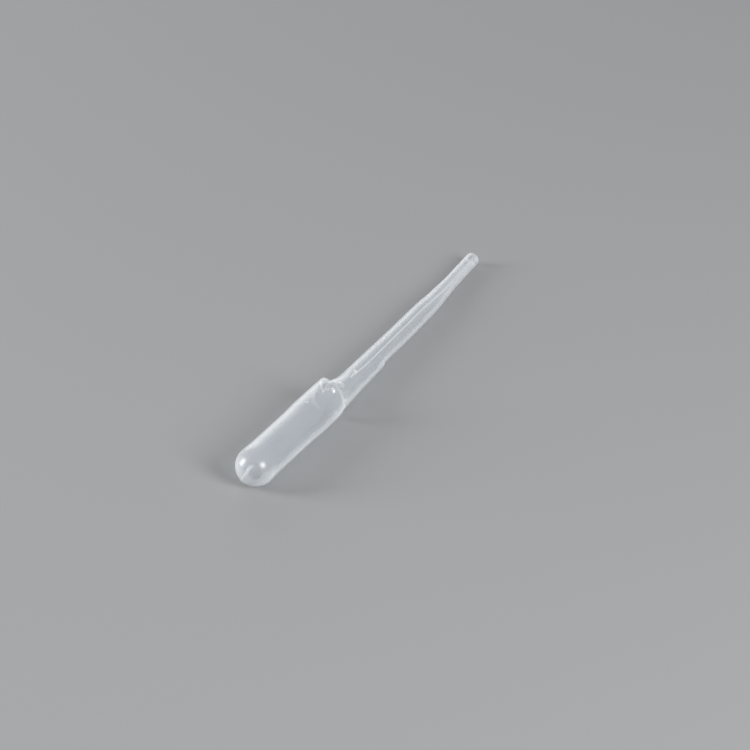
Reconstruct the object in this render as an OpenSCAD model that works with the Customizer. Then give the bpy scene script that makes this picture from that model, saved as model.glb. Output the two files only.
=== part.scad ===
// Dropper pipette, blown in one piece from soft translucent plastic.
// It lies on its side as it comes to rest: +X runs along the bulb towards the tip
// and +Z is up. The surface that it lies on is z = 0, and the origin is on that
// surface, under the middle of the part's length and width.

/* [Bulb] */
// Outer diameter of the squeeze bulb
bulb_d = 13.2; // [11:0.1:16]
// Length of the bulb, from its round end to the middle of its shoulder
bulb_len = 50.8; // [40:0.1:70]
// Wall of the bulb
bulb_wall = 0.4; // [0.3:0.05:0.7]

/* [Shoulder] */
// Radius of the shallow dome that closes the bulb round the stem
dome_r = 20; // [14:0.5:40]
// How far the dome is turned in plan, so that its left side stands forward
dome_turn = 7; // [0:1:15]
// Radius of the lobe that stands forward on the left of the shoulder
lobe_r = 4; // [3:0.1:4.5]
// Distance of the lobe's middle from the bulb's axis
lobe_side = 5; // [4:0.1:5.5]
// How far the lobe stands forward of the middle of the shoulder
lobe_reach = 3.7; // [1:0.1:5]
// Place of the lobe round the bulb, from the top towards the left side
lobe_roll = 63; // [30:1:100]

/* [Stem] */
// Outer diameter of the stem where it leaves the bulb
stem_root_d = 9; // [7.5:0.1:10]
// Outer diameter of the stem half way along
stem_mid_d = 7; // [6:0.1:8]
// Outer diameter of the stem where it starts to narrow to the tip
stem_knee_d = 6.75; // [5.5:0.05:7.5]
// Length of the stem from inside the shoulder to half way
root_len = 48; // [35:0.5:60]
// Length of the stem from half way to where it narrows
mid_len = 16.5; // [10:0.5:30]
// Wall of the stem
stem_wall = 0.6; // [0.4:0.05:0.9]
// Distance that the stem's root lies to the right of the bulb's axis
stem_side = 0.2; // [0:0.1:1]
// Bend of the stem in plan against the bulb, towards the left
stem_bend = 2.6; // [0:0.1:4]

/* [Neck] */
// Width of the shoulder's ledge round the flared neck
neck_step = 1.4; // [1:0.1:2]
// Outer diameter of the neck where it runs out into the stem
neck_end_d = 7.8; // [7:0.1:8]
// Length of the neck
neck_len = 19; // [12:0.5:24]

/* [Tip] */
// Outer diameter of the straight tip
tip_d = 4.8; // [4:0.1:5.4]
// Bore of the straight tip
tip_bore_d = 3; // [2:0.1:3.2]
// Length over which the stem narrows to the tip
taper_len = 19; // [10:0.5:25]
// Length of the straight tip
tip_len = 19; // [10:0.5:25]
// Rounding of the tip's outer edge
rim_round = 0.45; // [0.2:0.05:0.5]
// Rounding of the mouth of the bore
mouth_round = 0.25; // [0.1:0.05:0.3]
// Bend of the tip in plan against the stem, towards the left
tip_bend = 1.9; // [0.5:0.1:3.5]
// Radius of the elbow that takes up that bend
elbow_r = 150; // [100:10:300]

/* [Mould lines] */
// Lean of the parting plane from upright, towards the right side
parting_lean = 27; // [0:1:40]
// Width of the parting ridge along the stem and the taper
ridge_w = 0.35; // [0.2:0.05:0.5]
// Height of that ridge
ridge_h = 0.15; // [0.1:0.05:0.3]
// Distance from the shoulder end of the stem to the start of the ridge
ridge_start = 18; // [17:0.5:30]
// Width of the pinched seam on the round end of the bulb
seam_w = 0.6; // [0.4:0.05:1]
// Height of that seam
seam_h = 0.3; // [0.15:0.05:0.5]
// Lean of the seam from upright, towards the right side
seam_lean = 30; // [0:1:60]
// Angle that the seam reaches above the bulb's axis, seen from the middle of the round end
seam_upper = 32; // [20:1:60]
// Angle that it reaches below the axis, where its nib is
seam_lower = 49; // [30:1:60]
// Distance of the seam from the bulb's axis
seam_offset = 0.4; // [0:0.1:1]
// How far the nib at the seam's lower end stands out
nib_h = 0.7; // [0.4:0.1:1]

/* [Hidden] */
$fn = 96;

plastic = [0.86, 0.89, 0.9, 0.75];

bulb_r = bulb_d / 2;
root_r = stem_root_d / 2;
mid_r = stem_mid_d / 2;
knee_r = stem_knee_d / 2;
tip_r = tip_d / 2;
bore_r = tip_bore_d / 2;
neck_d = bulb_d - 2 * neck_step;
stem_len = root_len + mid_len;

// The elbow that takes up the tip's bend, measured straight across.
elbow_chord = 2 * elbow_r * sin(tip_bend / 2);

// The stem starts inside the bulb, and its root clears the surface by this much.
root_inset = 3.4;
root_lift = 0.1;
root_x = bulb_len - root_inset;
root_z = root_r + root_lift;
// The stem comes down until its underside meets the surface past the elbow.
stem_dip = asin((root_z - knee_r) / (stem_len + elbow_chord));

// The neck's lower side is level, just above the stem's, inside the stem.
neck_lift = root_lift + 0.3;
neck_dip = asin((neck_d - neck_end_d) / 2 / neck_len);

// Pieces that are cut away run this far past the faces that they cut.
over = 1;

// Centres of the dome's sphere, level with the bulb's axis, and of the lobe's.
// The dome shapes only this last stretch of the bulb.
dome_centre = [
    bulb_len - dome_r * cos(dome_turn),
    dome_r * sin(dome_turn),
    bulb_r
];
dome_depth = 6;
lobe_centre = [
    bulb_len + lobe_reach - lobe_r,
    lobe_side * sin(lobe_roll),
    bulb_r + lobe_side * cos(lobe_roll)
];

// Small pips that the mould leaves round the shoulder and at the ridge's start,
// each as [place along X, roll from the top towards the right, radius, height].
bulb_pips = [[bulb_len - 3.8, 34, 1.3, 0.4], [bulb_len - 2.7, 97, 1, 0.25]];
neck_pips = [[8.9, 16, 0.8, 0.3], [5.4, 78, 0.8, 0.3]];
stem_pips = [[ridge_start - 1.1, 24, 1.2, 0.4]];

// Where the straight tip ends, for the origin.
knee = [
    root_x + stem_len * cos(stem_dip) * cos(stem_bend),
    stem_len * cos(stem_dip) * sin(stem_bend) - stem_side
];
narrow_len = taper_len + tip_len;
tip_turn = stem_bend + tip_bend;
tip_end = [
    knee[0] + elbow_chord * cos(stem_bend + tip_bend / 2)
        + narrow_len * cos(stem_dip) * cos(tip_turn),
    knee[1] + elbow_chord * sin(stem_bend + tip_bend / 2)
        + narrow_len * cos(stem_dip) * sin(tip_turn)
];
// The box runs from the seam to the tip's rim, and from the side pip to the tip.
mid_x = (tip_end[0] + tip_r * sin(tip_turn) - seam_h) / 2;
mid_y = (tip_end[1] + tip_r * cos(tip_turn) - bulb_r - bulb_pips[1][3]) / 2;

// Puts children's +Z along the stem, from its start inside the bulb.
module along_stem() {
    translate([root_x, -stem_side, root_z])
        rotate([0, 90 + stem_dip, stem_bend])
            children();
}

// Puts children's +Z along the tip, from the end of the elbow.
module along_tip() {
    along_stem()
        translate([0, elbow_r * (1 - cos(tip_bend)), stem_len + elbow_r * sin(tip_bend)])
            rotate([-tip_bend, 0, 0])
                children();
}

// Puts children's +Z along the neck, whose axis dips more than the stem's.
module along_neck() {
    translate([root_x, -stem_side, neck_lift + neck_d / 2])
        rotate([0, 90 + neck_dip, stem_bend])
            children();
}

// A half profile turned round +Z, given as [radius, height] points.
module turned(points) {
    rotate_extrude()
        polygon(points);
}

// What trims the front of the bulb to its dome and lobe, cut back by inset.
module shoulder_cut(inset = 0) {
    difference() {
        translate([bulb_len - dome_depth, -bulb_d, -bulb_d])
            cube([dome_depth + lobe_reach + 2 * over, 2 * bulb_d, 3 * bulb_d]);
        translate(dome_centre)
            rotate([0, 90, 0])
                sphere(dome_r - inset, $fn = 192);
        translate(lobe_centre)
            rotate([0, 90, 0])
                sphere(lobe_r - inset);
    }
}

// A solid of the bulb's shape, cut back all round by inset.
module bulb_form(inset = 0) {
    difference() {
        translate([bulb_r, 0, bulb_r])
            rotate([0, 90, 0])
                rotate_extrude()
                    union() {
                        intersection() {
                            circle(bulb_r - inset);
                            translate([0, -bulb_r])
                                square([bulb_r, bulb_r]);
                        }
                        square([bulb_r - inset, bulb_len + lobe_reach + over - bulb_r]);
                    }
        shoulder_cut(inset);
    }
}

// A solid of the neck's shape, cut back by inset.
module neck_form(inset = 0) {
    along_neck()
        cylinder(h = neck_len, r1 = neck_d / 2 - inset, r2 = neck_end_d / 2 - inset);
}

// A solid of the stem's shape up to the elbow, cut back by inset.
module stem_form(inset = 0) {
    along_stem()
        turned([
            [0, 0],
            [root_r - inset, 0],
            [mid_r - inset, root_len],
            [knee_r - inset, stem_len],
            [0, stem_len]
        ]);
}

// The short bend between stem and taper, cut back by inset.
module elbow_form(inset = 0) {
    along_stem()
        translate([0, elbow_r, stem_len])
            rotate([0, -90, 0])
                rotate([0, 0, -90])
                    rotate_extrude(angle = tip_bend, $fn = 720)
                        translate([elbow_r, 0])
                            circle(knee_r - inset, $fn = 96);
}

// The taper and the straight tip, with a rounded outer edge.
module tip_outer() {
    along_tip() {
        cylinder(h = taper_len, r1 = knee_r, r2 = tip_r);
        translate([0, 0, taper_len])
            rotate_extrude()
                union() {
                    square([tip_r, tip_len - rim_round]);
                    square([tip_r - rim_round, tip_len]);
                    translate([tip_r - rim_round, tip_len - rim_round])
                        circle(rim_round);
                }
    }
}

// The space inside the taper and the bore of the tip, with a rounded mouth.
module tip_inner() {
    along_tip() {
        cylinder(h = taper_len, r1 = knee_r - stem_wall, r2 = bore_r);
        translate([0, 0, taper_len])
            cylinder(h = tip_len + over, r = bore_r);
        translate([0, 0, taper_len + tip_len - mouth_round])
            rotate_extrude()
                difference() {
                    square([bore_r + mouth_round, mouth_round + over]);
                    translate([bore_r + mouth_round, 0])
                        circle(mouth_round);
                }
    }
}

// A thin plate in the parting plane of whatever axis it is placed on, given
// by [radius, height] points along one side of its outline.
module parting_plate(points, width) {
    other_side = [for (i = [len(points) - 1:-1:0]) [-points[i][0], points[i][1]]];
    rotate([0, 0, parting_lean])
        rotate([90, 0, 0])
            linear_extrude(width, center = true)
                polygon(concat(points, other_side));
}

// The parting ridge, on both sides of the stem and the taper. The straight tip
// is plain all round.
module ridges() {
    start_r = root_r + (mid_r - root_r) * ridge_start / root_len;
    end_r = tip_r + (knee_r - tip_r) * over / taper_len;
    along_stem()
        parting_plate([
            [start_r, ridge_start],
            [mid_r + ridge_h, root_len],
            [knee_r + ridge_h, stem_len],
            [knee_r + ridge_h, stem_len + elbow_chord]
        ], ridge_w);
    along_tip()
        parting_plate([
            [knee_r + ridge_h, 0],
            [end_r + ridge_h, taper_len - over]
        ], ridge_w);
}

// The pinched seam across the bulb's round end, with a nib at its lower end.
module seam() {
    reach = bulb_d;
    translate([bulb_r, 0, bulb_r])
        rotate([seam_lean + 180, 0, 0])
            translate([0, -seam_offset, 0])
                rotate([90, 0, 0])
                    linear_extrude(seam_w, center = true) {
                        intersection() {
                            circle(bulb_r + seam_h);
                            polygon([
                                [0, 0],
                                reach * [-cos(seam_lower), sin(seam_lower)],
                                [-reach, 0],
                                reach * [-cos(seam_upper), -sin(seam_upper)]
                            ]);
                        }
                        rotate([0, 0, 180 - seam_lower])
                            translate([0, -seam_w])
                                square([bulb_r + nib_h, 2 * seam_w]);
                    }
}

// One pip on a round surface of radius r whose axis is +X.
module pip(place, r) {
    translate([place[0], 0, 0])
        rotate([place[1], 0, 0])
            translate([0, 0, r - place[2] + place[3]])
                sphere(place[2], $fn = 48);
}

module pips() {
    translate([0, 0, bulb_r])
        for (place = bulb_pips)
            pip(place, bulb_r);
    along_neck()
        rotate([0, -90, 0])
            for (place = neck_pips)
                pip(place, neck_d / 2 - place[0] * sin(neck_dip));
    along_stem()
        rotate([0, -90, 0])
            for (place = stem_pips)
                pip(place, root_r);
}

// The blown piece: one wall all the way round one hollow.
module pipette() {
    color(plastic)
        translate([-mid_x, -mid_y, 0])
            difference() {
                union() {
                    bulb_form();
                    neck_form();
                    stem_form();
                    elbow_form();
                    tip_outer();
                    ridges();
                    seam();
                    pips();
                }
                bulb_form(bulb_wall);
                neck_form(stem_wall);
                stem_form(stem_wall);
                elbow_form(stem_wall);
                tip_inner();
            }
}

pipette();
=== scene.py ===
"""Looks of a one-piece dropper pipette of soft translucent plastic.

The pipette is one blown shell: a round-ended squeeze bulb, a flared neck, a
tapering stem and a narrow straight tip, with one wall round one hollow.
"""

import logging
import math
from dataclasses import dataclass, field
from typing import Any

import bpy
import numpy as np
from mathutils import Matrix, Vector

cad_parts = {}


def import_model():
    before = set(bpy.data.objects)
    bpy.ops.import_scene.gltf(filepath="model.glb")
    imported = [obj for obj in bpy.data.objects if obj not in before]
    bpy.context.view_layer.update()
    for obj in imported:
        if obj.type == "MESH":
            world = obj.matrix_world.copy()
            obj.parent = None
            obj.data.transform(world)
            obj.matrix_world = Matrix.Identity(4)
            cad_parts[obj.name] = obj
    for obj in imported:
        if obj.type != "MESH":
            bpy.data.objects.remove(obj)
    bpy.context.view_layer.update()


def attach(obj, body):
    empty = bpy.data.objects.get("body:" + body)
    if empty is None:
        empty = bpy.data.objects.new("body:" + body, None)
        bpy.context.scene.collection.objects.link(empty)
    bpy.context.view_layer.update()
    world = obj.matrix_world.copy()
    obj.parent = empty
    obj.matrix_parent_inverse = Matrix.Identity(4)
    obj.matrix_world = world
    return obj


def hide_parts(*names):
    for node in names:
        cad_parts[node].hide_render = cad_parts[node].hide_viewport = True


LOG = logging.getLogger("dropper")
MM = 0.001
# Points nearer to each other than this, in metres, become one.
WELD = 1e-7
# Slack when two places along the axis are compared, in millimetres.
SLACK = 1e-6
# Least distance that anything is divided by, in millimetres.
LEAST = 0.1
# The Mix node's sockets for colours.
MIX_FIRST, MIX_SECOND, MIX_RESULT = 6, 7, 2
# Names of the values that are stored on the points.
WALL = "wall"
SKIN = "skin"
STATION = "station"

Point = tuple[float, float]
Triple = tuple[float, float, float]
Colour = tuple[float, float, float, float]
Span = tuple[Point, Point]
Numbers = np.ndarray | float


# ---------------------------------------------------------------- shader maths


class Socket:
    """An output socket that can be used in arithmetic."""

    def __init__(self, graph: "Graph", socket: bpy.types.NodeSocket) -> None:
        """Wraps one output socket of a node in the graph."""
        self.graph = graph
        self.socket = socket

    def _math(self, operation: str, *values: "Socket | float") -> "Socket":
        """Adds a Math node, with the values as its inputs in order."""
        inputs = dict(enumerate(values))
        return self.graph.node("ShaderNodeMath", {"operation": operation}, inputs)

    def __add__(self, other: "Socket | float") -> "Socket":
        """self + other."""
        return self._math("ADD", self, other)

    def __sub__(self, other: "Socket | float") -> "Socket":
        """self - other."""
        return self._math("SUBTRACT", self, other)

    def __rsub__(self, other: float) -> "Socket":
        """other - self."""
        return self._math("SUBTRACT", other, self)

    def __mul__(self, other: "Socket | float") -> "Socket":
        """self * other."""
        return self._math("MULTIPLY", self, other)

    def __truediv__(self, other: "Socket | float") -> "Socket":
        """self / other."""
        return self._math("DIVIDE", self, other)

    def __pow__(self, other: float) -> "Socket":
        """self ** other."""
        return self._math("POWER", self, other)

    def exponent(self) -> "Socket":
        """e ** self."""
        return self._math("EXPONENT", self)

    __radd__ = __add__
    __rmul__ = __mul__


class Graph:
    """A material's or world's node graph, built from its output backwards."""

    def __init__(self, tree: bpy.types.NodeTree) -> None:
        """Empties the tree and keeps it."""
        self.tree = tree
        tree.nodes.clear()

    def node(
        self,
        kind: str,
        settings: dict[str, Any],
        inputs: dict[int | str, Any],
        output: int | str = 0,
    ) -> Socket | None:
        """Adds a node, with its settings first and its sockets after.

        Args:
            kind: The node's type.
            settings: Values of the node's own properties.
            inputs: Values or Socket links of its input sockets.
            output: The output to give back.

        Returns:
            The output, wrapped, or nothing for a node that ends the graph.
        """
        made = self.tree.nodes.new(kind)
        for name, value in settings.items():
            setattr(made, name, value)
        for name, value in inputs.items():
            if isinstance(value, Socket):
                self.tree.links.new(value.socket, made.inputs[name])
            else:
                made.inputs[name].default_value = value
        return Socket(self, made.outputs[output]) if made.outputs else None

    def mix_shader(
        self, share: Socket | float, first: Socket, second: Socket
    ) -> Socket:
        """Mixes two shaders, with that share, from 0 to 1, of the second."""
        return self.node("ShaderNodeMixShader", {}, {0: share, 1: first, 2: second})

    def mix_colour(self, share: Socket | float, first: Any, second: Any) -> Socket:
        """Mixes two colours or links, with that share of the second."""
        inputs = {0: share, MIX_FIRST: first, MIX_SECOND: second}
        return self.node("ShaderNodeMix", {"data_type": "RGBA"}, inputs, MIX_RESULT)

    def place(self, stretch: Triple = (1, 1, 1)) -> Socket:
        """The piece's own coordinates, scaled along each axis."""
        place = self.node("ShaderNodeTexCoord", {}, {}, "Object")
        return self.node("ShaderNodeMapping", {}, {"Vector": place, "Scale": stretch})

    def attribute(self, name: str) -> Socket:
        """The value of that name that is stored on the piece's points."""
        return self.node("ShaderNodeAttribute", {"attribute_name": name}, {}, "Fac")

    def noise(self, place: Socket, size: float, detail: float) -> Socket:
        """Soft noise from 0 to 1, with features of that size in metres."""
        inputs = {"Vector": place, "Scale": 1 / size, "Detail": detail}
        return self.node("ShaderNodeTexNoise", {}, inputs, "Fac")

    def bump(self, height: Socket, strength: float, depth: float) -> Socket:
        """Fine relief for a normal, in which a height of 1 is depth metres."""
        inputs = {"Height": height, "Strength": strength, "Distance": depth}
        return self.node("ShaderNodeBump", {}, inputs)


# -------------------------------------------------------------------- finishes


@dataclass(frozen=True)
class MilkyPlastic:
    """Soft polyethylene: clear where its wall is thin, milky where it is thick.

    The wall's thickness is stored on the points in millimetres, with painted shade and
    painted highlights worked into it in places, and each face of the wall holds half of
    the haze that the light meets on its way through. Sizes of the noise are in metres.
    """

    name: str = "milky_plastic"
    milk: Colour = (0.89, 0.89, 0.885, 1)
    haze: Colour = (0.73, 0.78, 0.83, 1)
    clear: Colour = (0.96, 0.968, 0.975, 1)
    glow: Colour = (0.84, 0.855, 0.865, 1)
    whitening: float = 0.6
    density: float = 0.36
    grazing: float = 0.06
    focus: float = 1.3
    cloud_size: float = 0.004
    cloud_detail: float = 3
    cloud_stretch: Triple = (0.5, 1, 1)
    unevenness: float = 0.3
    through: float = 0.4
    softness: float = 0.45
    refraction: float = 1.51
    gloss: float = 0.3
    gloss_spread: float = 0.3
    mirror: float = 0.045
    mirror_power: float = 5
    draw_size: float = 0.0018
    draw_detail: float = 2
    draw_stretch: Triple = (0.2, 1, 1)
    draw_strength: float = 0.06
    draw_depth: float = 0.0001

    def haze_share(self, graph: Graph, facing: Socket) -> Socket:
        """How much of the light the wall scatters.

        Args:
            graph: The material's graph.
            facing: 0 where the face is seen head on, and 1 where edge on.

        Returns:
            The share, from 0 to 1.
        """
        place = graph.place(self.cloud_stretch)
        cloud = graph.noise(place, self.cloud_size, self.cloud_detail)
        wall = graph.attribute(WALL) * (1 + self.unevenness * (cloud - 0.5))
        path = (wall / (1 + self.grazing - facing)) ** self.focus
        return 1 - (path * -self.density).exponent()

    def build(self) -> bpy.types.Material:
        """Builds the material.

        Returns:
            The material.
        """
        material = bpy.data.materials.new(self.name)
        material.use_nodes = True
        graph = Graph(material.node_tree)
        facing = graph.node("ShaderNodeLayerWeight", {}, {"Blend": 0.5}, "Facing")
        place = graph.place(self.draw_stretch)
        draw = graph.noise(place, self.draw_size, self.draw_detail)
        relief = graph.bump(draw, self.draw_strength, self.draw_depth)
        solid = self.haze_share(graph, facing)
        inputs = {
            "Base Color": graph.mix_colour(solid**self.whitening, self.haze, self.milk),
            "Roughness": self.softness,
            "IOR": self.refraction,
            "Normal": relief,
        }
        front = graph.node("ShaderNodeBsdfPrincipled", {}, inputs)
        inputs = {"Color": self.glow, "Normal": relief}
        behind = graph.node("ShaderNodeBsdfTranslucent", {}, inputs)
        milky = graph.mix_shader(self.through, front, behind)
        clear = graph.node("ShaderNodeBsdfTransparent", {}, {"Color": self.clear})
        body = graph.mix_shader(solid, clear, milky)
        rough = self.gloss * (1 - self.gloss_spread / 2 + self.gloss_spread * draw)
        inputs = {"Color": (1, 1, 1, 1), "Roughness": rough, "Normal": relief}
        sheen = graph.node("ShaderNodeBsdfAnisotropic", {}, inputs)
        mirror = self.mirror + (1 - self.mirror) * facing**self.mirror_power
        shader = graph.mix_shader(mirror * graph.attribute(SKIN), body, sheen)
        graph.node("ShaderNodeOutputMaterial", {}, {"Surface": shader})
        return material


@dataclass(frozen=True)
class PaleFloor:
    """A plain pale matt tabletop, with its grain's size and depth in metres."""

    name: str = "pale_floor"
    colour: Colour = (0.335, 0.338, 0.342, 1)
    roughness: float = 0.8
    gloss: float = 0.04
    grain_size: float = 0.0012
    grain_detail: float = 2
    grain_strength: float = 0.05
    grain_depth: float = 0.0002

    def build(self) -> bpy.types.Material:
        """Builds the material.

        Returns:
            The material.
        """
        material = bpy.data.materials.new(self.name)
        material.use_nodes = True
        graph = Graph(material.node_tree)
        grain = graph.noise(graph.place(), self.grain_size, self.grain_detail)
        inputs = {
            "Base Color": self.colour,
            "Roughness": self.roughness,
            "Specular IOR Level": self.gloss,
            "Normal": graph.bump(grain, self.grain_strength, self.grain_depth),
        }
        shader = graph.node("ShaderNodeBsdfPrincipled", {}, inputs)
        graph.node("ShaderNodeOutputMaterial", {}, {"Surface": shader})
        return material


# ---------------------------------------------------------------- mesh helpers


def deselect_everything() -> None:
    """Leaves object mode's selection empty."""
    bpy.ops.object.select_all(action="DESELECT")


def store(mesh: bpy.types.Mesh, name: str, values: np.ndarray) -> None:
    """Stores one value on each point of the mesh."""
    made = mesh.attributes.new(name, "FLOAT", "POINT")
    made.data.foreach_set("value", values.astype(np.float32))


def line(start: Point, end: Point, step: float) -> list[Point]:
    """Points on a straight stretch of a half profile, without its last one.

    Args:
        start: First point, as place along the axis and radius.
        end: Where the stretch ends.
        step: Largest gap between points.

    Returns:
        The points.
    """
    count = max(1, math.ceil(math.dist(start, end) / step))
    run = (end[0] - start[0], end[1] - start[1])
    return [
        (start[0] + run[0] * i / count, start[1] + run[1] * i / count)
        for i in range(count)
    ]


def arc(
    centre: Point, radius: float, start: float, end: float, step: float
) -> list[Point]:
    """Points on a round stretch of a half profile, without its last one.

    Args:
        centre: The arc's middle, as place along the axis and radius.
        radius: The arc's radius.
        start: Angle of the first point in degrees, from the axis outwards.
        end: Angle where the arc ends.
        step: Largest gap between points.

    Returns:
        The points.
    """
    count = max(2, math.ceil(abs(math.radians(end - start)) * radius / step))
    angles = [math.radians(start + (end - start) * i / count) for i in range(count)]
    return [
        (centre[0] + radius * math.cos(a), centre[1] + radius * math.sin(a))
        for a in angles
    ]


def sweep(ends: tuple[Point, Point, Point, Point], step: float) -> list[Point]:
    """Points on a Bezier stretch of a half profile, without its last one.

    Args:
        ends: First point, its handle, the last point's handle and the last point.
        step: About the gap between points.

    Returns:
        The points.
    """
    count = max(4, math.ceil(math.dist(ends[0], ends[3]) / step))
    points = []
    for i in range(count):
        t = i / count
        weights = ((1 - t) ** 3, 3 * t * (1 - t) ** 2, 3 * t**2 * (1 - t), t**3)
        along = sum(w * end[0] for w, end in zip(weights, ends))
        points.append((along, sum(w * end[1] for w, end in zip(weights, ends))))
    return points


def tip_index(points: list[Point]) -> int:
    """Number of the profile's furthest point, where the inner face starts."""
    return int(np.argmax([point[0] for point in points]))


def ramp(value: np.ndarray, low: Numbers, high: Numbers) -> np.ndarray:
    """A smooth step of each value, from 0 at low to 1 at high."""
    t = np.clip((value - low) / (high - low), 0, 1)
    return t * t * (3 - 2 * t)


def band(value: np.ndarray, rise: Point, fall: Point) -> np.ndarray:
    """A smooth band: 1 between its rise and its fall, and 0 outside them."""
    return ramp(value, *rise) * (1 - ramp(value, *fall))


def turn_apart(angle: np.ndarray, other: Numbers) -> np.ndarray:
    """The signed angle round the axis from other, from -180 to 180 degrees."""
    return (angle - other + 180) % 360 - 180


def turn_near(angle: np.ndarray, other: float, spread: Point) -> np.ndarray:
    """1 up to spread[0] degrees from other round the axis, 0 from spread[1]."""
    return 1 - ramp(np.abs(turn_apart(angle, other)), *spread)


# ----------------------------------------------------------------- the pipette


@dataclass(frozen=True)
class Bulb:
    """The squeeze bulb, in millimetres and degrees, measured from its round end.

    The rim lists how far the shoulder reaches in each direction round the axis:
    directions count from the top, positive towards the left side. A spread says
    how far round the axis something reaches, and a span where along it something
    rises and falls. The rim's fade counts from the shoulder.
    """

    radius: float = 6.6
    shoulder: float = 50.3
    wall: float = 0.4
    corner: float = 0.8
    lean: float = 28
    ledge: float = 1.5
    ledge_fullness: float = 0.6
    ledge_lift: float = 0.1
    rim: tuple[Point, ...] = (
        (-180, 51.4),
        (-155, 50.8),
        (-127, 50.0),
        (-102, 49.9),
        (-78, 50.1),
        (-52, 50.4),
        (-32, 50.8),
        (-12, 51.3),
        (5, 51.6),
        (20, 52.3),
        (33, 53.3),
        (45, 54.0),
        (60, 54.1),
        (76, 53.8),
        (94, 52.4),
        (112, 50.8),
        (137, 50.9),
        (160, 51.4),
    )
    rim_blur: int = 9
    rim_blur_step: int = 3
    rim_start: float = 38
    rim_fade: Point = (1.3, 11)
    droop_turn: float = -118
    droop_spread: Point = (30, 80)
    droop: float = 0.9
    droop_reach: float = 2.6
    waist: float = 0.19
    waist_span: Span = ((7, 12), (31, 36))
    swell: float = 0.12
    swell_span: Span = ((34, 38), (44, 48))

    @property
    def ledge_end(self) -> float:
        """Where the shoulder's ledge ends on the neck."""
        return self.shoulder + self.ledge


@dataclass(frozen=True)
class Stem:
    """The neck, stem and tip, in millimetres, measured from the bulb's round end.

    The neck's shift to the side fades from neck_side_start past the shoulder to
    neck_side_end past the neck's end, and the tip's comes in over tip_ease. What
    the step rises and sinks by counts its places from the step.
    """

    neck_radius: float = 5.2
    neck_height: float = 5.6
    neck_end: float = 66.0
    flare_extra: float = 0.06
    flare_power: float = 1.5
    root: float = 47.4
    root_radius: float = 4.5
    root_height: float = 4.6
    root_side: float = -0.2
    middle: float = 95.4
    middle_radius: float = 3.5
    knee: float = 111.9
    knee_radius: float = 3.375
    elbow: float = 5.0
    taper_end: float = 135.7
    end: float = 154.65
    tip_radius: float = 2.4
    bore_radius: float = 1.5
    wall: float = 0.6
    root_wall: float = 0.5
    root_wall_length: float = 6
    rim_round: float = 0.75
    mouth_round: float = 0.25
    soft_reach: float = 1.6
    soft_parts: int = 4
    stem_turn: float = 2.6
    tip_turn: float = 4.5
    dip: float = 1.01
    neck_side: float = -0.35
    neck_side_start: float = 8
    neck_side_end: float = 2
    tip_side: float = -0.25
    tip_drop: float = 0.2
    tip_ease: float = 13
    step: float = 82.0
    step_turn: float = -127
    step_spread: Point = (15, 75)
    step_edge: Point = (-1.6, 0.6)
    step_rise: float = 0.15
    step_lead: Point = (-19, -12)
    step_depth: float = 0.42
    step_tail: Point = (2, 18)


@dataclass(frozen=True)
class Rings:
    """Gaps between the rings of points on one face of the wall, in millimetres.

    Four fields are other lengths: the bulb's rings are closer past close, the
    neck's end at neck_end, the taper's reach bend_room past a bend, and
    corner_room is left free beside a corner.
    """

    end: float
    bulb: float
    close: float
    shoulder: float
    ledge: float
    neck: float
    stem: float
    taper: float
    tip: float
    rim: float
    face: float = 0.1
    neck_end: float = 68
    bend_room: float = 3
    corner_room: float = 0.2


@dataclass(frozen=True)
class Pip:
    """A small slanted nub that the mould leaves on the outer face.

    Its direction counts from the top in degrees, positive towards the left side.
    """

    along: float
    turn: float
    radius: float
    height: float


@dataclass(frozen=True)
class MouldMarks:
    """What the mould leaves on the plastic, in millimetres and degrees.

    An edge says how far from a mark's middle line its side starts to fall and
    where it ends. The seam's own places are angles up the bulb's round end. The
    dimple's size is in millimetres along and degrees round, and the nib's is in
    degrees along and millimetres across.
    """

    pips: tuple[Pip, ...] = (
        Pip(47.5, -30, 0.9, 0.85),
        Pip(48.4, -96, 0.75, 0.24),
        Pip(44.4, -12, 0.6, 0.24),
        Pip(36.6, -1, 0.6, 0.22),
        Pip(49.9, -5, 1.0, 0.2),
        Pip(54.8, -18, 1.1, 0.38),
        Pip(51.2, -76, 0.7, 0.6),
        Pip(65.3, -15, 0.75, 0.9),
    )
    pip_lean: Point = (0.32, 0.2)
    ridge_turn: float = -27
    ridge_drift: float = -9
    ridge_lead: float = 9
    ridge_lead_end: Point = (64, 71)
    ridge_edge: Point = (0.09, 0.36)
    ridge_height: float = 0.15
    ridge_span: Span = ((60.6, 62.1), (151, 154))
    ridge_widening: float = 1.1
    ridge_thinning: float = 0.35
    ridge_far: float = 0.25
    # The furrow is a shallow groove whose thinner wall also paints a dark line: painted
    # shade for the bore's dark refracted edge.
    furrow_turn: float = -11
    furrow_edge: Point = (0.1, 0.6)
    furrow_depth: float = 0.05
    seam_lean: float = 30
    seam_edge: float = 0.75
    seam_widening: float = 0.25
    seam_widens: Point = (5, 50)
    seam_height: float = 0.19
    seam_span: Span = ((-52, -47), (34, 50))
    seam_back: float = 0.5
    seam_path: tuple[Point, ...] = (
        (-50, 0.2),
        (-23, 0.12),
        (-8, 0.03),
        (1, 0.0),
        (12, 0.08),
        (22, 0.22),
        (29, 0.28),
        (35, 0.24),
        (41, 0.08),
        (49, -0.3),
    )
    nib_place: float = -47
    nib_size: Point = (9, 0.7)
    nib_top: float = 0.1
    nib_height: float = 0.1
    crease_start: Point = (53.0, 51)
    crease_end: Point = (44.4, -10)
    crease_edge: Point = (0.1, 0.7)
    crease_height: float = 0.1
    crease_rise: float = 0.3
    crease_thinning: float = 0.4
    crease_room: float = 4
    dimple_along: float = 47.4
    dimple_turn: float = -9
    dimple_size: Point = (2.2, 17)
    dimple_floor: float = 0.2
    dimple_depth: float = 0.32


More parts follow.
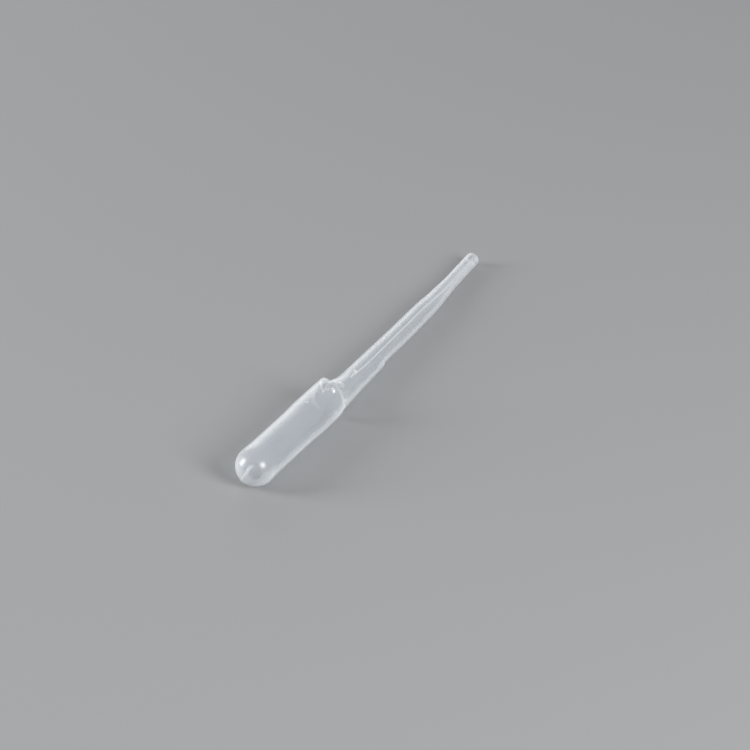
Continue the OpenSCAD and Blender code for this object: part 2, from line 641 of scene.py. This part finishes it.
@dataclass(frozen=True)
class WallLook:
    """How thick the wall looks, in millimetres, for the finish to read.

    It is thinner, and so clearer and darker, on the left of the rim and the stem:
    painted shade that tones down the band that the left lamp lights there. It is
    thicker, and so whiter, on the low side of the rim, a painted highlight for the
    bright crescent there, and on the lower half of the round end, a painted highlight
    too, but for one clear spot that stands for the dark reflection of the floor there.
    It is thick where the mould fills its marks, and thinner just before the mouth, a
    painted dark band for the bore's dark refracted edge. The mouth's edges count from
    the tip's rim, end_back from the round end's centre and spot_edge in degrees from
    spot_way. end_top is how far up a direction points, from 0 to 1.
    """

    bulb: tuple[Point, ...] = ((0, 0.5), (5, 0.45), (12, 0.4), (45, 0.4))
    shoulder: float = 0.5
    neck: Point = (56, 0.43)
    neck_end: float = 0.4
    knee: float = 0.43
    taper_end: float = 0.6
    tip: float = 0.7
    mouth: float = 1.6
    mouth_edge: Point = (-1.2, -0.4)
    # before_mouth thins the wall just behind the mouth: a painted dark band for the
    # bore's dark refracted edge there.
    before_mouth: float = 0.25
    before_mouth_edge: Point = (-4.5, -2.2)
    filling: float = 6.0
    rim: float = 0.2
    rim_start: float = 2.5
    # Thicker, whiter low side of the rim: a painted highlight for its bright crescent.
    low_rim_highlight: float = 1.5
    low_turn: float = -122
    low_spread: Point = (15, 45)
    # Thinner, clearer left side of the rim and the stem: painted shade that tones down
    # the band the left lamp lights there.
    thin_turn: float = 40
    thin_spread: Point = (20, 60)
    thin_rim: float = 0.4
    thin_stem: float = 0.3
    thin_stem_start: Point = (56, 62)
    # Thicker lower half of the round end: a painted highlight, with a clear spot that
    # stands for the dark reflection of the floor.
    end: float = 0.5
    end_top: Point = (0.1, 0.5)
    end_back: Point = (-4, 3)
    spot_way: Triple = (-0.841, -0.493, 0.221)
    spot_edge: Point = (14, 22)


@dataclass
class PipetteShell:
    """The whole pipette: one closed wall with an outer and an inner face."""

    bulb: Bulb = field(default_factory=Bulb)
    stem: Stem = field(default_factory=Stem)
    marks: MouldMarks = field(default_factory=MouldMarks)
    look: WallLook = field(default_factory=WallLook)
    finish: MilkyPlastic = field(default_factory=MilkyPlastic)
    outside: Rings = Rings(
        end=0.24,
        bulb=1.2,
        close=34,
        shoulder=0.24,
        ledge=0.12,
        neck=0.25,
        stem=0.9,
        taper=0.7,
        tip=1.2,
        rim=0.09,
    )
    inside: Rings = Rings(
        end=0.4,
        bulb=1.6,
        close=36,
        shoulder=0.4,
        ledge=0.16,
        neck=0.5,
        stem=1.2,
        taper=0.9,
        tip=1.4,
        rim=0.07,
    )
    pole: float = -77.277
    axis_side: float = -0.7785
    spin_steps: int = 160
    line_points: int = 2000
    pip_polish: float = 8
    inner_polish: float = 0.2

    def radius_at(self, along: float) -> float:
        """Outer radius of neck, stem and tip, with its corners softened.

        Args:
            along: Place along the axis.

        Returns:
            The radius.
        """
        b, s = self.bulb, self.stem
        flare = max(0.0, 1 - (along - b.shoulder) / (s.neck_end - b.shoulder))
        places = [s.root, s.middle, s.knee + s.elbow, s.taper_end, s.end]
        radii = [s.root_radius, s.middle_radius, s.knee_radius]
        radii += [s.tip_radius, s.tip_radius]
        parts = range(-s.soft_parts, s.soft_parts + 1)
        spread = [along + s.soft_reach * k / s.soft_parts for k in parts]
        weights = [s.soft_parts + 1 - abs(k) for k in parts]
        reached = [float(np.interp(x, places, radii)) for x in spread]
        plain = sum(w * radius for w, radius in zip(weights, reached)) / sum(weights)
        extra = s.neck_radius - s.root_radius + s.flare_extra
        return plain + extra * flare**s.flare_power

    def ledge_curve(self, corner: float, radius: float, step: float) -> list[Point]:
        """The shoulder's sloping ledge, from the rim's corner down to the neck.

        Args:
            corner: Radius of the corner where the ledge starts.
            radius: Radius where the ledge runs out on the neck.
            step: About the gap between points.

        Returns:
            The points, with the last one.
        """
        b = self.bulb
        lean = math.radians(b.lean)
        middle = (b.shoulder - b.corner, b.radius - b.corner)
        rim = (middle[0] + corner * math.cos(lean), middle[1] + corner * math.sin(lean))
        root = (b.ledge_end, radius)
        reach = b.ledge_fullness * math.dist(rim, root)
        handle = (rim[0] + reach * math.sin(lean), rim[1] - reach * math.cos(lean))
        ends = (rim, handle, (root[0] - reach, root[1] + b.ledge_lift), root)
        return [*arc(middle, corner, 90, b.lean, step), *sweep(ends, step), root]

    def outer_profile(self) -> list[Point]:
        """Half profile of the outer face, from the bulb's round end to the tip's rim.

        Returns:
            Points as place along the axis and radius.
        """
        b, s, rings = self.bulb, self.stem, self.outside
        close = (rings.close, b.radius)
        points = arc((b.radius, 0), b.radius, 180, 90, rings.end)
        points += line((b.radius, b.radius), close, rings.bulb)
        points += line(close, (b.shoulder - b.corner, b.radius), rings.shoulder)
        points += self.ledge_curve(b.corner, self.radius_at(b.ledge_end), rings.ledge)
        bend, straight = s.knee - rings.bend_room, s.taper_end + rings.bend_room
        last = s.end - s.rim_round - rings.corner_room
        places = [
            *np.arange(b.ledge_end + rings.corner_room, rings.neck_end, rings.neck),
            *np.arange(rings.neck_end, bend, rings.stem),
            *np.arange(bend, straight, rings.taper),
            *np.arange(straight, last, rings.tip),
        ]
        points += [(float(x), self.radius_at(float(x))) for x in places]
        rim = (s.end - s.rim_round, s.tip_radius - s.rim_round)
        points += arc(rim, s.rim_round, 90, 0, rings.rim)
        return points

    def inner_profile(self) -> list[Point]:
        """Half profile of the inner face, from the tip's mouth back to the round end.

        Returns:
            Points as place along the axis and radius.
        """
        b, s, rings = self.bulb, self.stem, self.inside
        mouth = (s.end, s.bore_radius + s.mouth_round)
        points = line((s.end, s.tip_radius - s.rim_round), mouth, rings.face)
        centre = (s.end - s.mouth_round, mouth[1])
        points += arc(centre, s.mouth_round, 0, -90, rings.rim)
        bend = s.knee - rings.bend_room
        places = [
            *np.arange(centre[0], s.taper_end, -rings.tip),
            *np.arange(s.taper_end, bend, -rings.taper),
            *np.arange(bend, rings.neck_end, -rings.stem),
            *np.arange(rings.neck_end, b.ledge_end + rings.corner_room, -rings.neck),
        ]
        marks = [b.ledge_end, b.ledge_end + s.root_wall_length, s.knee, s.taper_end]
        walls = [s.root_wall, s.wall, s.wall, s.tip_radius - s.bore_radius]
        for x, wall in zip(places, np.interp(places, marks, walls)):
            points.append((float(x), self.radius_at(float(x)) - wall))
        inner_root = self.radius_at(b.ledge_end) - s.root_wall
        points += reversed(self.ledge_curve(b.corner - b.wall, inner_root, rings.ledge))
        inner = b.radius - b.wall
        close = (rings.close, inner)
        points += line((b.shoulder - b.corner, inner), close, rings.shoulder)[1:]
        points += line(close, (b.radius, inner), rings.bulb)
        points += arc((b.radius, 0), inner, 90, 180, rings.end)
        points.append((b.wall, 0.0))
        return points

    def draw_profile(self, points: list[Point]) -> bpy.types.Object:
        """Draws the half profile as a chain of edges, one extrusion at a time.

        Args:
            points: The profile, as place along the axis and radius.

        Returns:
            The chain, with each point's number stored on it.
        """
        deselect_everything()
        bpy.ops.mesh.primitive_plane_add(size=MM)
        chain = bpy.context.object
        chain.name = "pipette_shell"
        bpy.ops.object.mode_set(mode="EDIT")
        bpy.ops.mesh.merge(type="CENTER")
        first = points[0]
        move = Vector((first[0], 0, first[1])) * MM
        bpy.ops.transform.translate(value=move)
        for before, after in zip(points, points[1:]):
            step = Vector((after[0] - before[0], 0, after[1] - before[1])) * MM
            bpy.ops.mesh.extrude_region_move(TRANSFORM_OT_translate={"value": step})
        bpy.ops.object.mode_set(mode="OBJECT")
        store(chain.data, STATION, np.arange(len(points)))
        return chain

    def spin(self) -> None:
        """Spins the drawn profile round the axis into a closed shell."""
        bpy.ops.object.mode_set(mode="EDIT")
        bpy.ops.mesh.select_all(action="SELECT")
        bpy.ops.mesh.spin(
            steps=self.spin_steps, angle=math.tau, center=(0, 0, 0), axis=(1, 0, 0)
        )
        bpy.ops.mesh.select_all(action="SELECT")
        bpy.ops.mesh.remove_doubles(threshold=WELD)
        bpy.ops.mesh.normals_make_consistent(inside=False)
        bpy.ops.object.mode_set(mode="OBJECT")

    def stem_share(self, points: list[Point]) -> np.ndarray:
        """How far each ring of the profile belongs to the stem and not the bulb.

        Args:
            points: The profile.

        Returns:
            0 on the bulb, 1 on neck, stem and tip, and between them on the ledge.
        """
        b = self.bulb
        along, radius = np.array(points).T
        inner = np.arange(len(points)) > tip_index(points)
        widest = np.where(inner, b.radius - b.wall, b.radius)
        narrow = self.radius_at(b.ledge_end) - np.where(inner, self.stem.root_wall, 0)
        share = np.clip((widest - radius) / (widest - narrow), 0, 1)
        share = np.where(along >= b.ledge_end - SLACK, 1, share)
        return np.where(along <= b.shoulder - b.corner, 0, share)

    def centre_line(self, points: list[Point]) -> dict[str, np.ndarray]:
        """Where each ring of the profile sits and how it is turned.

        Args:
            points: The profile.

        Returns:
            Side, height, turn and dip of each ring, and its share of the stem.
        """
        b, s = self.bulb, self.stem
        along = np.array(points)[:, 0]
        grid = np.linspace(0, s.end + 1, self.line_points)
        elbow = np.interp(grid, [s.knee, s.knee + s.elbow], [s.stem_turn, s.tip_turn])
        slope = np.tan(np.radians(elbow))
        strides = (slope[1:] + slope[:-1]) / 2 * np.diff(grid)
        side = np.concatenate([[0], np.cumsum(strides)])
        side += s.root_side - np.interp(s.root, grid, side)
        height = s.root_height - np.tan(math.radians(s.dip)) * (grid - s.root)
        lift = s.neck_height - np.interp(b.shoulder, grid, height)
        height += lift * (1 - ramp(grid, b.shoulder, s.neck_end))
        neck_from = b.shoulder + s.neck_side_start
        neck_to = s.neck_end + s.neck_side_end
        side += s.neck_side * (1 - ramp(grid, neck_from, neck_to))
        tip = ramp(grid, s.knee, s.knee + s.tip_ease)
        side += s.tip_side * tip
        height -= s.tip_drop * tip
        share = self.stem_share(points)
        return {
            "side": share * np.interp(along, grid, side),
            "height": b.radius + share * (np.interp(along, grid, height) - b.radius),
            "turn": share * np.radians(np.interp(along, grid, elbow)),
            "dip": (share == 1) * math.radians(s.dip),
            "share": share,
        }

    def rim_shift(self, along: np.ndarray, turn: np.ndarray) -> np.ndarray:
        """How far the uneven shoulder moves each point along the axis.

        Args:
            along: Place of each point along the axis.
            turn: Direction of each point round the axis.

        Returns:
            Shift along the axis.
        """
        b = self.bulb
        turns, places = zip(*b.rim)
        spread = np.arange(-b.rim_blur, b.rim_blur + 1, b.rim_blur_step)
        weights = b.rim_blur + 1.0 - np.abs(spread)
        reach = sum(
            w * np.interp(turn + a, turns, places, period=360)
            for a, w in zip(spread, weights)
        )
        shift = reach / weights.sum() - b.shoulder
        rise = ramp(along, b.rim_start, b.shoulder - b.corner)
        return shift * rise * (1 - ramp(along - b.shoulder, *b.rim_fade))

    def droop(
        self, along: np.ndarray, turn: np.ndarray, share: np.ndarray
    ) -> np.ndarray:
        """How far the shoulder's rim is rounded off on its low side.

        Args:
            along: Place of each point along the axis.
            turn: Direction of each point round the axis.
            share: How far each point belongs to the stem.

        Returns:
            How far each point sinks.
        """
        b = self.bulb
        edge = np.clip((along - b.shoulder + b.droop_reach) / b.droop_reach, 0, 1)
        depth = b.droop * turn_near(turn, b.droop_turn, b.droop_spread)
        return depth * (1 - np.sqrt(1 - edge**2)) * (1 - share)

    def unevenness(self, along: np.ndarray, turn: np.ndarray) -> np.ndarray:
        """How the blown wall strays from round: a waist, a swell and a step.

        Args:
            along: Place of each point along the axis.
            turn: Direction of each point round the axis.

        Returns:
            How far each point stands out.
        """
        b, s = self.bulb, self.stem
        flank = np.sin(np.radians(turn)) ** 2
        stray = b.swell * flank * band(along, *b.swell_span)
        stray -= b.waist * band(along, *b.waist_span)
        past = along - s.step
        edge = ramp(past, *s.step_edge)
        step = s.step_rise * ramp(past, *s.step_lead) * (1 - edge)
        step -= s.step_depth * edge * (1 - ramp(past, *s.step_tail))
        return stray + step * turn_near(turn, s.step_turn, s.step_spread)

    def dimple(self, along: np.ndarray, turn: np.ndarray) -> np.ndarray:
        """Depth of the hollow in the bulb's wall beside the lobe.

        Args:
            along: Place of each point along the axis.
            turn: Direction of each point round the axis.

        Returns:
            How far each point sinks.
        """
        m = self.marks
        forward = (along - m.dimple_along) / m.dimple_size[0]
        across = turn_apart(turn, m.dimple_turn) / m.dimple_size[1]
        distance = np.sqrt(across**2 + forward**2)
        return m.dimple_depth * (1 - ramp(distance, m.dimple_floor, 1))

    def crease(self, along: np.ndarray, turn: np.ndarray) -> np.ndarray:
        """Height of the slanting crease from the lobe's corner down the bulb.

        Args:
            along: Place of each point along the axis.
            turn: Direction of each point round the axis.

        Returns:
            How far each point stands out.
        """
        m = self.marks
        arm = math.radians(1) * self.bulb.radius
        start = np.array([m.crease_start[0], m.crease_start[1] * arm])
        run = np.array([m.crease_end[0], m.crease_end[1] * arm]) - start
        spots = np.stack([along, turn * arm], axis=-1) - start
        share = np.clip(spots @ run / (run @ run), 0, 1)
        apart = np.linalg.norm(spots - share[:, None] * run, axis=1)
        length = ramp(share, 0, m.crease_rise) * (1 - m.crease_thinning * share)
        length *= along < self.bulb.shoulder + m.crease_room
        return m.crease_height * (1 - ramp(apart, *m.crease_edge)) * length

    def ridge(
        self, along: np.ndarray, turn: np.ndarray, radius: np.ndarray
    ) -> np.ndarray:
        """Height of the parting ridge along the stem, fainter on its far side.

        A furrow runs beside it on the taper and the tip; as the height also thins the
        wall's look, the furrow is painted shade too, a dark line for the bore's dark
        refracted edge.

        Args:
            along: Place of each point along the axis.
            turn: Direction of each point round the axis.
            radius: Distance of each point from the axis.

        Returns:
            How far each point stands out.
        """
        m = self.marks
        fade = ramp(along, self.stem.knee, self.stem.taper_end)
        lead = m.ridge_lead * (1 - ramp(along, *m.ridge_lead_end))
        near = np.abs(turn_apart(turn, m.ridge_turn + m.ridge_drift * fade + lead))
        across = np.radians(np.minimum(near, 180 - near)) * radius
        shape = 1 - ramp(across / (1 + m.ridge_widening * fade), *m.ridge_edge)
        shape *= np.where(near < 90, 1, m.ridge_far) * (1 - m.ridge_thinning * fade)
        beside = np.radians(np.abs(turn_apart(turn, m.furrow_turn))) * radius
        furrow = m.furrow_depth * (1 - ramp(beside, *m.furrow_edge)) * fade
        return band(along, *m.ridge_span) * (m.ridge_height * shape - furrow)

    def seam(self, spots: np.ndarray) -> np.ndarray:
        """Height of the pinched seam and its nib on the bulb's round end.

        Args:
            spots: Points, measured from the bulb's round centre.

        Returns:
            How far each point stands out.
        """
        m = self.marks
        lean = math.radians(m.seam_lean)
        up = np.array([0, -math.sin(lean), math.cos(lean)])
        out = np.array([0, math.cos(lean), math.sin(lean)])
        reach = np.degrees(np.arctan2(spots @ up, -spots[:, 0]))
        across = np.abs(spots @ out - np.interp(reach, *zip(*m.seam_path)))
        edge = m.seam_edge * (1 + m.seam_widening * ramp(reach, *m.seam_widens))
        seam = m.seam_height * (1 - ramp(across, 0, edge)) * band(reach, *m.seam_span)
        length, width = m.nib_size
        away = np.hypot((reach - m.nib_place) / length, across / width)
        nib = m.nib_height * (1 - ramp(away, m.nib_top, 1))
        return (spots[:, 0] < m.seam_back) * (seam + nib)

    def pips(
        self, along: np.ndarray, turn: np.ndarray, radius: np.ndarray
    ) -> np.ndarray:
        """Height of the mould's pips.

        Args:
            along: Place of each point along the axis.
            turn: Direction of each point round the axis.
            radius: Distance of each point from the axis.

        Returns:
            How far each point stands out.
        """
        total = np.zeros_like(along)
        lean = np.array(self.marks.pip_lean)
        room = 1 - lean @ lean
        for pip in self.marks.pips:
            across = np.radians(turn_apart(turn, pip.turn)) * radius
            away = np.stack([along - pip.along, across], axis=-1) / pip.radius - lean
            slide = away @ lean
            distance = slide + np.sqrt(slide**2 + room * (away**2).sum(axis=-1))
            total += pip.height * np.clip(1 - distance / room, 0, 1)
        return total

    def end_painted_highlight(self, centred: np.ndarray) -> np.ndarray:
        """Painted highlight: extra wall on the lower half of the round end, but for a
        clear spot.

        Args:
            centred: Points, measured from the bulb's round centre.

        Returns:
            Thickness in millimetres.
        """
        look = self.look
        reach = np.linalg.norm(centred, axis=1, keepdims=True)
        ways = centred / np.maximum(reach, LEAST)
        apart = np.degrees(np.arccos(np.clip(ways @ np.array(look.spot_way), -1, 1)))
        # Painted highlight away from the clear spot, which stands for the dark
        # reflection of the floor.
        extra = look.end * ramp(apart, *look.spot_edge)
        extra *= 1 - ramp(ways[:, 2], *look.end_top)
        return extra * (1 - ramp(centred[:, 0], *look.end_back))

    def wall_at(
        self, along: np.ndarray, turn: np.ndarray, rise: np.ndarray, share: np.ndarray
    ) -> np.ndarray:
        """How thick the wall looks, but for what its round end adds.

        Args:
            along: Place of each point along the axis.
            turn: Direction of each point round the axis.
            rise: Height of the marks.
            share: How far each point belongs to the stem.

        Returns:
            Thickness in millimetres.
        """
        b, s, look = self.bulb, self.stem, self.look
        places = (
            *look.bulb,
            (b.shoulder, look.shoulder),
            look.neck,
            (s.neck_end, look.neck_end),
            (s.knee, look.knee),
            (s.taper_end, look.taper_end),
            (s.end, look.tip),
        )
        plain = np.interp(along, *zip(*places))
        plain += look.mouth * ramp(along - s.end, *look.mouth_edge)
        # Painted shade: a thinner, darker band just behind the mouth for the bore's
        # dark refracted edge.
        plain -= look.before_mouth * ramp(along - s.end, *look.before_mouth_edge)
        rim = ramp(along, b.shoulder - look.rim_start, b.shoulder - b.corner)
        rim *= 1 - share
        # low marks the rim's low side for its painted highlight; thin marks the left of
        # the rim and the stem for painted shade.
        low = turn_near(turn, look.low_turn, look.low_spread)
        thin = turn_near(turn, look.thin_turn, look.thin_spread)
        stem = look.thin_stem * ramp(along, *look.thin_stem_start)
        plain *= 1 - thin * (look.thin_rim * rim + stem)
        # The rim's low side gets its painted highlight here, less where the left side
        # carries painted shade.
        edge = (look.rim + look.low_rim_highlight * low) * (1 - thin)
        return plain + look.filling * rise + edge * (4 * share * (1 - share) + rim)

    def shape(self, shell: bpy.types.Object, points: list[Point]) -> None:
        """Bends the spun shell and gives it its shoulder, marks and true place.

        Args:
            shell: The spun shell.
            points: The profile that it was spun from.
        """
        b, mesh = self.bulb, shell.data
        count = len(mesh.vertices)
        spots, station = np.empty(count * 3), np.empty(count)
        mesh.vertices.foreach_get("co", spots)
        spots = spots.reshape(-1, 3) / MM
        mesh.attributes[STATION].data.foreach_get("value", station)
        mesh.attributes.remove(mesh.attributes[STATION])
        outer = station < tip_index(points) + 0.5
        rings = self.centre_line(points)
        side, height, yaw, dip, share = (
            np.interp(station, np.arange(len(points)), rings[name])
            for name in ("side", "height", "turn", "dip", "share")
        )
        flat, radius = spots[:, 0], np.hypot(spots[:, 1], spots[:, 2])
        turn = np.degrees(np.arctan2(spots[:, 1], spots[:, 2]))
        centred = spots - [b.radius, 0, 0]
        along = flat + self.rim_shift(flat, turn)
        rise = self.ridge(along, turn, radius) + self.pips(along, turn, radius)
        rise += self.seam(centred) + self.crease(along, turn)
        sink = self.dimple(along, turn) * (1 - share) + self.droop(flat, turn, share)
        wall = self.wall_at(flat, turn, rise, share) + self.end_painted_highlight(centred)
        store(mesh, WALL, wall)
        polish = 1 + self.pip_polish * self.pips(along, turn, radius)
        store(mesh, SKIN, np.where(outer, polish, self.inner_polish))
        ball = flat < b.radius
        rise = np.where(outer, rise, 0)
        reach = np.maximum(np.linalg.norm(centred, axis=1), LEAST)
        bump = np.where(ball, rise / reach, 0)
        along = along + bump * centred[:, 0]
        grown = radius + rise - sink + self.unevenness(flat, turn)
        radius = np.where(ball, radius * (1 + bump), grown)
        left = radius * np.sin(np.radians(turn))
        up = radius * np.cos(np.radians(turn))
        floor = np.where(outer, 0, b.wall)
        placed = np.empty((count, 3))
        placed[:, 0] = along - left * np.sin(yaw) + up * np.sin(dip) + self.pole
        placed[:, 1] = side + left * np.cos(yaw) + self.axis_side
        placed[:, 2] = np.clip(height + up * np.cos(dip), floor, 2 * b.radius - floor)
        mesh.vertices.foreach_set("co", (placed * MM).ravel())
        mesh.update()

    def build(self) -> bpy.types.Object:
        """Builds, shapes and dresses the shell.

        Returns:
            The finished piece.
        """
        points = self.outer_profile() + self.inner_profile()
        shell = self.draw_profile(points)
        self.spin()
        self.shape(shell, points)
        deselect_everything()
        shell.select_set(True)
        bpy.context.view_layer.objects.active = shell
        bpy.ops.object.shade_smooth()
        shell.data.materials.clear()
        shell.data.materials.append(self.finish.build())
        return shell


# ---------------------------------------------------------------------- studio


@dataclass(frozen=True)
class Softbox:
    """A large soft lamp, in metres and watts, aimed at the bulb's round end."""

    name: str
    place: Triple
    width: float
    height: float
    power: float
    aim: Triple = (-0.0707, -0.0008, 0.0066)

    def build(self) -> bpy.types.Object:
        """Adds the lamp.

        Returns:
            The lamp.
        """
        deselect_everything()
        bpy.ops.object.light_add(type="AREA", location=self.place)
        lamp = bpy.context.object
        lamp.name = self.name
        look = Vector(self.aim) - Vector(self.place)
        lamp.rotation_euler = look.to_track_quat("-Z", "Y").to_euler()
        lamp.data.shape = "ELLIPSE"
        lamp.data.size = self.width
        lamp.data.size_y = self.height
        lamp.data.energy = self.power
        lamp.visible_camera = False
        return lamp


@dataclass
class Studio:
    """Floor, soft light and camera, in metres and degrees."""

    floor_finish: PaleFloor = field(default_factory=PaleFloor)
    floor_size: float = 8.0
    sky: Colour = (0.72, 0.74, 0.77, 1)
    sky_strength: float = 0.5
    backdrop: Colour = (0.80, 0.81, 0.83, 1)
    backdrop_strength: float = 1.0
    elevation: float = 34.0
    heading: float = 31.08
    distance: float = 1.0
    lens: float = 144.96
    sensor: float = 36
    nearest: float = 0.01
    target: Triple = (0.00047, -0.00141, 0.0)
    softboxes: tuple[Softbox, ...] = (
        Softbox("softbox_left", (-0.625, 0.995, 0.375), 0.5, 0.8, 14),
        Softbox("softbox_right", (-0.279, -1.018, 0.608), 0.54, 0.6, 12),
        Softbox("softbox_back", (0.853, 0.768, 0.351), 1.0, 0.8, 3.6),
    )

    def build_floor(self) -> bpy.types.Object:
        """Adds the plain floor.

        Returns:
            The floor.
        """
        deselect_everything()
        bpy.ops.mesh.primitive_plane_add(size=self.floor_size)
        floor = bpy.context.object
        floor.name = "floor"
        floor.data.materials.append(self.floor_finish.build())
        return floor

    def build_world(self) -> None:
        """Lights the scene from all round and shows a pale backdrop."""
        world = bpy.data.worlds.new("studio")
        bpy.context.scene.world = world
        world.use_nodes = True
        graph = Graph(world.node_tree)
        seen = graph.node("ShaderNodeLightPath", {}, {}, "Is Camera Ray")
        inputs = {"Color": self.sky, "Strength": self.sky_strength}
        light = graph.node("ShaderNodeBackground", {}, inputs)
        inputs = {"Color": self.backdrop, "Strength": self.backdrop_strength}
        wall = graph.node("ShaderNodeBackground", {}, inputs)
        surface = graph.mix_shader(seen, light, wall)
        graph.node("ShaderNodeOutputWorld", {}, {"Surface": surface})

    def build_camera(self) -> bpy.types.Object:
        """Adds the camera, which looks down along the pipette from its bulb's end.

        Returns:
            The camera.
        """
        lift, heading = math.radians(self.elevation), math.radians(self.heading)
        ahead, aside = math.cos(heading), math.sin(heading)
        flat = math.cos(lift)
        look = Vector((flat * ahead, flat * aside, -math.sin(lift)))
        deselect_everything()
        bpy.ops.object.camera_add(location=Vector(self.target) - look * self.distance)
        camera = bpy.context.object
        camera.name = "camera"
        camera.rotation_euler = look.to_track_quat("-Z", "Y").to_euler()
        camera.data.sensor_width = self.sensor
        camera.data.lens = self.lens
        camera.data.clip_start = self.nearest
        bpy.context.scene.camera = camera
        return camera

    def build(self) -> None:
        """Builds everything round the pipette."""
        self.build_floor()
        self.build_world()
        for softbox in self.softboxes:
            softbox.build()
        self.build_camera()
        bpy.context.scene.view_settings.view_transform = "Standard"


def report(piece: bpy.types.Object) -> None:
    """Logs a finished piece's faces and size."""
    sizes = ", ".join(f"{d / MM:.1f}" for d in piece.dimensions)
    LOG.info("%s: %d faces, %s mm", piece.name, len(piece.data.polygons), sizes)


def main() -> None:
    """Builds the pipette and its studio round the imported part."""
    logging.basicConfig(level=logging.INFO, format="%(name)s: %(message)s")
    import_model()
    shell = PipetteShell().build()
    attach(shell, "root")
    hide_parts("pipette")
    report(shell)
    Studio().build()


if __name__ == "__main__":
    main()
